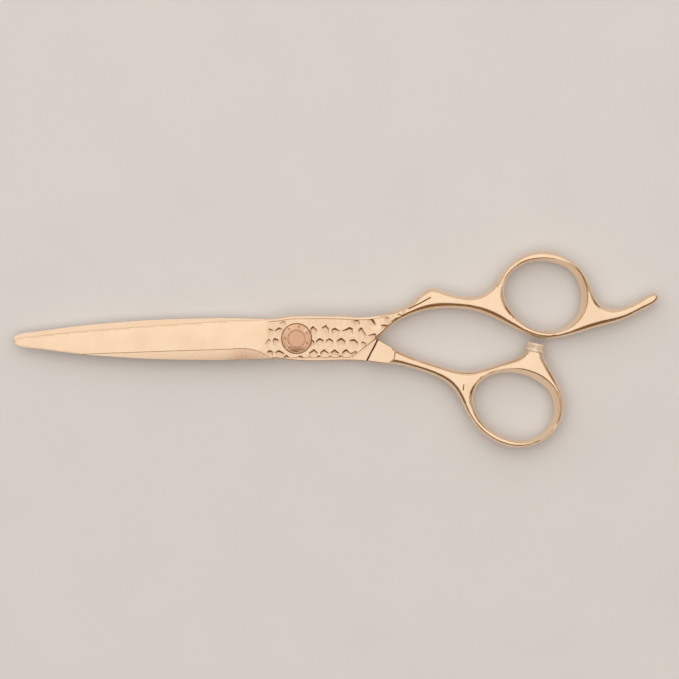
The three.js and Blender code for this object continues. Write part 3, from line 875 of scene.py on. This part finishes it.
def finger_piece():
    on_edge = np.arange(len(BLADE_RUN)) > TIP
    blade = BLADE_RUN[np.where(on_edge, BLADE_RUN[:, 0] < HEEL_X, BLADE_RUN[:, 0] < -6.7)]
    upper = spline(FINGER_LOOP, 0.3)
    outer = chain(blade, [(HEEL_X, along(EDGE_CURVE, HEEL_X))], upper,
                  line([FINGER_LOOP[-1], FINGER_END], 0.3)[1:-1], [FINGER_END], low_edge(), [FINGER_LOW_HEEL])
    hole = spline(FINGER_HOLE, 0.3, closed=True)
    keyway = circle(1.7, 48)
    keyway[:, 1] = np.clip(keyway[:, 1], -1.25, 1.25)
    ridge = RIDGE_CURVE[(RIDGE_CURVE[:, 0] > RIDGE_FROM) & (RIDGE_CURVE[:, 0] < -6.8)]
    rim_in = spline(FINGER_LOOP[:9], 0.25)
    lean = np.gradient(rim_in, axis=0)
    lean /= np.linalg.norm(lean, axis=1)[:, None]
    right = np.stack([lean[:, 1], -lean[:, 0]], axis=1)
    field_rims = [rim_in + right * d for d in (FIELD_EDGE, FIELD_EDGE + FIELD_RUN)]
    lines = [ridge, ridge - (0, RIDGE_RUN / 2), ridge - (0, RIDGE_RUN),
             *ring_lines(SEAT["radius"]), *ring_lines(RECESS["radius"]),
             *two_lines([(HEEL_X, 5.15), (HEEL_X, 0.2), (-9.3, -3.0)], 0.3),
             *two_lines(FINGER_SHOULDER, 0.3), *field_rims, *scoop_lines()]
    crease = np.array(FINGER_CREASE)
    lines += [spline(crease + shift, 0.2) for shift in ((0, 0), (-0.08, 0.14), (0.08, -0.14))]
    xy, tri = layout(outer, [hole, keyway], lines, HEEL_X, wall_rows(hole, FINGER_WALL))
    x, y = xy.T
    radius = np.hypot(x, y)
    upper_gap = distance(xy, upper, closed=False)
    end_gap = distance(xy, np.array([FINGER_LOOP[-1], FINGER_END]), closed=False)
    low_gap = distance(xy, low_edge(), closed=False)
    held = distance(xy, outer) < ON_LINE
    half = HANDLE_HALF - REST_THIN * smooth(x, *REST_RUN)
    mark = cut(xy, crease, 0.42, 0.15) * (x > 29.4) * (x < 35.1)
    top_h = handle_side(xy, tri, held, hole, FINGER_WALL, half, 1) - mark
    low_h = handle_side(xy, tri, held, hole, FINGER_WALL, half, -1)
    handle = smooth(x, *FINGER_BLEND)
    in_body = (x > across(HEEL_BORDER, y)) & (y > along(RIDGE_CURVE, x) - ON_LINE)
    rims = [rim(upper_gap, BODY_RIM), rim(end_gap, END_RIM), rim(low_gap, LOW_RIM)]
    flat = THICKNESS - np.maximum.reduce(rims)
    field = smooth(upper_gap, FIELD_EDGE, FIELD_EDGE + FIELD_RUN)
    field *= (1 - smooth(x, *FIELD_END)) * (end_gap > 0.25)
    depth, wall, tone = scoop_depth(xy)
    hammered = dapple(xy, 0.55)
    patterned = field * (depth + FIELD_SUNK + 0.02 * hammered)
    top = flat * (1 - handle) + (MID_Z + top_h) * handle - patterned
    below = along(RIDGE_CURVE, x) - y
    # These two masks only carry painted shade: the rim of the cutting edge, and a dark line along the middle
    # of the ridge step, where no groove is cut.
    on_cutting_edge = held & (x < HEEL_X) & (y > along(RIDGE_CURVE, x))
    groove = (abs(below - RIDGE_RUN / 2) < 0.03) * (x < -6.6) * smooth(x, -58, -55)
    top = np.where(in_body, top, MID_Z + blade_top(x, y))
    top = np.where(radius < SEAT["radius"], SEAT["floor"], top)
    shank = x > UNDER_STEP_X
    shank_under = rim(upper_gap, BODY_RIM) * (1 - handle) + (MID_Z - low_h) * handle
    under = np.where(shank, shank_under, MID_Z + LAP_GAP)
    under = np.where(x < HEEL_X, MID_Z + blade_inside(x, y), under)
    under = np.where(radius < RECESS["radius"], RECESS["floor"], under)

    def kind(c, where):
        cx, cy = c.T
        fanned = cy < along(RIDGE_CURVE, cx)
        blade_side = (cx < across(HEEL_BORDER, cy)) | fanned
        blade_side &= cx < -6.4
        tag = np.where(blade_side, np.where(fanned, 2, 1), 0)
        if where == "bottom":
            tag = np.where(cx < UNDER_STEP_X, 3, 0)
        return tag.tolist()

    # Painted shade: the scoop walls, the floor under them (with a little random tone over the whole field),
    # the cut creases, a line along the field's border, the dial's seat, the ridge step line and the rim of
    # the cutting edge are darkened to stand in for the shade they fall into.
    in_scoops = in_body * field * np.maximum(0.5 * wall, 1.6 * tone + 0.1 * (1 + hammered))
    on_border = (abs(upper_gap - FIELD_EDGE - 0.05) < 0.07) * (x < 19) * (x > HEEL_X + 0.1)
    painted_shade = np.maximum.reduce([
        in_scoops, mark > 0.02, 0.35 * on_border, radius < SEAT["radius"] + 0.03, 0.8 * groove, 0.4 * on_cutting_edge,
    ])
    return solid_mesh("finger_half_piece", xy, tri, top, under, GROUNDS, kind, painted_shade)


def leaned(points):
    """Turns the finger half's blade over and leans it, to where the thumb half's blade lies."""
    x, y = np.array(points, float).T
    c, s = math.cos(THUMB_BLADE_LEAN), math.sin(THUMB_BLADE_LEAN)
    return np.column_stack([x * c + y * s, x * s - y * c])


def unleaned(xy):
    """The same turn backwards: where a point of the thumb half's blade lies on the finger half's."""
    x, y = xy.T
    c, s = math.cos(THUMB_BLADE_LEAN), math.sin(THUMB_BLADE_LEAN)
    return x * c + y * s, x * s - y * c


def thumb_piece():
    blade = leaned(BLADE_RUN)
    keep = np.where(np.arange(len(blade)) <= TIP, blade[:, 0] < -8.2, blade[:, 0] < -6.9)
    blade = blade[keep][::-1]
    top_run, outer_run = spline(THUMB_TOP, 0.3), spline(THUMB_OUTER, 0.3)
    body_top = line([THUMB_HEEL_TOP, THUMB_BODY_END, THUMB_TOP[0]], 0.3)
    horn = line([THUMB_TOP[-1], THUMB_OUTER[0]], 0.25)
    outer = chain(blade, body_top, top_run[1:], horn[1:-1], outer_run)
    hole = spline(THUMB_HOLE, 0.3, closed=True)
    bore = circle(2.2, 60)
    heel = leaned(line([(HEEL_X, -5.3), (HEEL_X, 4.9)], 0.4))
    heels = [heel + (s, 0) for s in (-STEP, STEP)]
    ridge = leaned(RIDGE_CURVE[(RIDGE_CURVE[:, 0] > RIDGE_FROM) & (RIDGE_CURVE[:, 0] < -7.6)])
    plateau = [spline([(x + s, y) for x, y in PLATEAU_END], 0.25) for s in (0, PLATEAU_RUN / 2, PLATEAU_RUN)]
    crease = np.array(THUMB_CREASE)
    lines = [ridge, *heels, *ring_lines(HEAD_SEAT["radius"]), *plateau,
             *[spline(crease + (s, 0), 0.2) for s in (-0.14, 0, 0.14)],
             *[spline(np.array(THUMB_SHOULDER[1:3]) + (s, 0), 0.3)
               for s in (-2 * TRENCH, -TRENCH, -0.02, SHOULDER_RUN)]]
    xy, tri = layout(outer, [hole, bore], lines, HEEL_X, wall_rows(hole, THUMB_WALL))
    x, y = xy.T
    bx, by = unleaned(xy)
    radius = np.hypot(x, y)
    gap = distance(xy, chain(body_top, top_run[1:], horn[1:-1], outer_run), closed=False)
    on_horn = distance(xy, horn, closed=False) < ON_LINE
    held = (distance(xy, outer) < ON_LINE) & ~on_horn
    half = HANDLE_HALF - NECK_THIN * (1 - smooth(x, *NECK_RUN))
    mark = cut(xy, crease, 0.4, 0.13)
    top_h = handle_side(xy, tri, held, hole, THUMB_WALL, half, 1) - mark
    low_h = handle_side(xy, tri, held, hole, THUMB_WALL, half, -1)
    border = across(PLATEAU_END[1:], y)
    handle = np.clip((x - border) / PLATEAU_RUN, 0, 1)
    flat = THICKNESS - rim(gap, 0.4)
    top = flat * (1 - handle) + (MID_Z + top_h) * handle
    step_x = across(THUMB_SHOULDER, y)
    shoulder = np.clip((x - step_x) / SHOULDER_RUN, 0, 1)
    trench = np.clip(1 - abs(x - step_x + TRENCH) / TRENCH, 0, 1)
    lap = MID_Z - LAP_GAP - rim(gap, 0.25) - TRENCH_DEPTH * trench
    top = lap * (1 - shoulder) + top * shoulder
    top = np.where(bx < HEEL_X, MID_Z - blade_inside(bx, by), top)
    handle_low = smooth(x, *THUMB_BLEND)
    under = rim(gap, BODY_RIM) * (1 - handle_low) + (MID_Z - low_h) * handle_low
    under = np.where(bx < HEEL_X, MID_Z - blade_top(bx, by), under)
    under = np.where(radius < HEAD_SEAT["radius"], HEAD_SEAT["floor"], under)

    def kind(c, where):
        cbx, cby = unleaned(c)
        tag = np.where(cbx < HEEL_X, 1, 0)
        if where == "bottom":
            tag = np.where((cbx < HEEL_X) & (cby < along(RIDGE_CURVE, cbx)), 2, tag)
        if where == "top":
            tag = np.where(c[:, 0] < across(THUMB_SHOULDER, c[:, 1]), 3, 0)
        return tag.tolist()

    # Painted shade in the groove at the foot of the step and in the cut creases.
    painted_shade = np.maximum(0.75 * (trench > 0.1) * (bx > HEEL_X), mark > 0.02)
    return solid_mesh("thumb_half_piece", xy, tri, top, under, GROUNDS, kind, painted_shade)


finger = finger_piece()
thumb = thumb_piece()

# ---- pivot pieces ----
DIAL = {"radius": 3.85, "bottom": 5.05, "top": 7.1, "fall": 0.42,
        "marks": 7, "mark_radius": 3.1, "mark_size": 0.33, "first": 26}
CAP = {"radius": 2.25, "bottom": 6.78, "top": 7.0}
BOLT = {"head_radius": 3.6, "head_top": 0.8, "neck": 1.65, "neck_top": 3.2, "top": 6.6, "flat": 1.2}


def dial_piece():
    top, seat, edge = DIAL["top"], CAP["radius"] + 0.05, DIAL["radius"]
    slope = [(seat, top - 0.06), (seat + 0.06, top)]
    fall = DIAL["fall"]
    radii = np.arange(seat + 0.12, edge - 0.22, 0.065)
    slope += [(r, top - fall * ((r - seat) / 1.3) ** 1.15) for r in radii]
    shoulder = [(0.15, 0.01), (0.09, 0.08), (0.04, 0.18), (0.01, 0.3), (0, 0.42)]
    slope += [(edge - inward, top - fall - down) for inward, down in shoulder]
    profile = [(1.7, DIAL["bottom"]), (1.7, CAP["bottom"] - 0.05), (seat, CAP["bottom"] - 0.05), *slope,
               (edge, DIAL["bottom"] + 0.1), (edge - 0.1, DIAL["bottom"])]

    def dimpled(v):
        size = DIAL["mark_size"]
        for i in range(DIAL["marks"]):
            turn = math.radians(DIAL["first"]) + i / DIAL["marks"] * 2 * math.pi
            d2 = (v[:, 0] - DIAL["mark_radius"] * math.cos(turn)) ** 2
            d2 += (v[:, 1] - DIAL["mark_radius"] * math.sin(turn)) ** 2
            near = (d2 < size * size) & (v[:, 2] > top - fall - 0.4)
            bowl = 0.24 * (1 - d2 / size**2) ** 0.6
            v[:, 2] = np.where(near, v[:, 2] - np.where(near, bowl, 0), v[:, 2])
        return v

    with np.errstate(invalid="ignore"):
        return lathe("tension_dial_piece", profile, 252, [turned_gold], dimpled)


def cap_piece():
    r, z = CAP["radius"], CAP["top"]
    profile = [(0, CAP["bottom"]), (r, CAP["bottom"]), (r, z - 0.06), (r - 0.05, z - 0.01), (r - 0.14, z)]
    profile += [(s, z - 0.05 - 0.02 * math.sin(s * 9) * (s > 0.3)) for s in np.linspace(r - 0.2, 0.12, 40)]
    profile += [(0, z - 0.05)]
    return lathe("dial_cap_piece", profile, 128, [turned_copper])


def bolt_piece():
    b = BOLT
    face = [(0, 0.12), (0.5, 0.12), (0.62, 0.02), (2.7, 0.0), (2.76, 0.07), (2.9, 0.07), (2.96, 0.0)]
    profile = [*face, (b["head_radius"] - 0.3, 0.02), (b["head_radius"] - 0.12, 0.1), (b["head_radius"], 0.3),
               (b["head_radius"], b["head_top"]), (b["neck"], b["head_top"]), (b["neck"], b["neck_top"]),
               (b["neck"], b["neck_top"] + 0.02), (b["neck"], b["top"] - 0.15), (b["neck"] - 0.15, b["top"]),
               (0, b["top"])]

    def keyed(v):
        flat = v[:, 2] > b["neck_top"] + 0.01
        v[:, 1] = np.where(flat, np.clip(v[:, 1], -b["flat"], b["flat"]), v[:, 1])
        return v

    return lathe("pivot_bolt_piece", profile, 128, [turned_gold], keyed, closed=False)


BUMPER = {"x": 62.47, "y": -3.5, "lean": -13, "radius": 2.55, "top_radius": 2.38, "height": 2.3}


def bumper_piece():
    b = BUMPER
    corners = [(0, 0.05), (b["radius"], 0.05), (b["radius"] - 0.02, 0.55), (b["top_radius"] - 0.12, 0.95),
               (b["top_radius"] - 0.06, 1.55), (b["top_radius"] + 0.1, 1.9), (b["top_radius"], b["height"]),
               (0.9, b["height"]), (0, b["height"] - 0.12)]
    radii = [0, 0.12, 0.15, 0.2, 0.25, 0.14, 0.14, 0.4, 0]
    profile = rounded_profile(corners, radii)
    obj = lathe("bumper_piece", profile, 96, [bumper_plastic], closed=False)
    lean = Matrix.Rotation(math.radians(b["lean"]), 4, "Z") @ Matrix.Rotation(-math.pi / 2, 4, "X")
    obj.data.transform(Matrix.Translation(Vector((b["x"], b["y"], MID_Z)) * MM) @ lean)
    return obj


dial, cap, bolt, bumper = dial_piece(), cap_piece(), bolt_piece(), bumper_piece()

for piece, body, node, slot in (
    (finger, "finger_side", "finger_half", "rose_gold"),
    (thumb, "thumb_side", "thumb_half", "rose_gold"),
    (dial, "dial", "tension_dial", "rose_gold_turned"),
    (cap, "dial", "dial_cap", "copper_rose"),
    (bolt, "finger_side", "pivot_bolt", "rose_gold_turned"),
    (bumper, "thumb_side", "bumper", "bumper_nylon"),
):
    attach(piece, body)
    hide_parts(node)

CARRIED = {
    "pivot_bushing": bronze, "thrust_washer": race_steel, "ball_cage": cage_plastic,
    "ride_washer": washer_plastic, "click_plate": leaf_steel, "spring_washer": leaf_steel,
    "bumper_stud": race_steel, **{f"bearing_ball_{i}": race_steel for i in range(1, 9)},
}
for name, material in CARRIED.items():
    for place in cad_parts[name].material_slots:
        place.material = material

# ---- floor, light and camera ----
FLOOR_SIZE = 3.0
FLOOR_Z = -0.0002


def make_floor():
    material, tree, shader = node_material("floor_paper")
    place = add(tree, "ShaderNodeTexCoord").outputs["Object"]
    cloud = noise(tree, place, 40, 5)
    colour = ramp(tree, cloud, [(0.3, (0.7, 0.69, 0.68)), (0.7, (0.72, 0.715, 0.7))])
    feed(tree, shader, {"Base Color": colour, "Roughness": 0.9})
    half = FLOOR_SIZE / 2
    mesh = bpy.data.meshes.new("floor")
    corners = [(-half, -half), (half, -half), (half, half), (-half, half)]
    mesh.from_pydata([(x, y, FLOOR_Z) for x, y in corners], [], [(0, 1, 2, 3)])
    mesh.materials.append(material)
    floor = new_object("floor", mesh)


def area_light(name, size, power, place):
    """A rectangular light turned to the pivot."""
    data = bpy.data.lights.new(name, "AREA")
    data.shape = "RECTANGLE"
    data.size, data.size_y = size
    data.energy = power
    light = new_object(name, data)
    light.location = place
    light.rotation_euler = (-Vector(place)).to_track_quat("-Z", "Y").to_euler()
    return light


# Softboxes, all turned to the pivot: width, depth, place, brightness. The side towards -y is left dark.
SOFTBOXES = {
    "softbox_top": ((1.7, 1.6), (0.0, 0.12, 0.9), 0.82),
    "softbox_back": ((2.6, 1.0), (0.0, 1.2, 0.53), 0.62),
    "softbox_left": ((1.2, 1.0), (-1.15, 0.35, 0.5), 0.5),
    "softbox_right": ((0.8, 1.0), (1.15, 0.15, 0.5), 0.3),
}
FILL_POWER = 6.0
make_floor()
for name, (size, place, radiance) in SOFTBOXES.items():
    area_light(name, size, math.pi * size[0] * size[1] * radiance, place)
fill = area_light("fill", (2.0, 2.0), FILL_POWER, (0.0, 0.0, 1.2))
fill.visible_glossy = False

world = bpy.data.worlds.new("studio")
world.use_nodes = True
world.node_tree.nodes["Background"].inputs["Color"].default_value = (0.2, 0.125, 0.07, 1)
world.node_tree.nodes["Background"].inputs["Strength"].default_value = 1.0
bpy.context.scene.world = world

VIEW_WIDTH = 0.17844  # metres across the picture at the shears' mid height
VIEW_CENTRE = (0.01125, -0.00024)
CAMERA_HEIGHT = 1.0
SENSOR = 36.0
camera_data = bpy.data.cameras.new("camera")
camera_data.sensor_width = SENSOR
camera_data.lens = SENSOR * (CAMERA_HEIGHT - MID_Z * MM) / VIEW_WIDTH
camera = new_object("camera", camera_data)
camera.location = (*VIEW_CENTRE, CAMERA_HEIGHT)
bpy.context.scene.camera = camera
bpy.context.scene.view_settings.view_transform = "Standard"
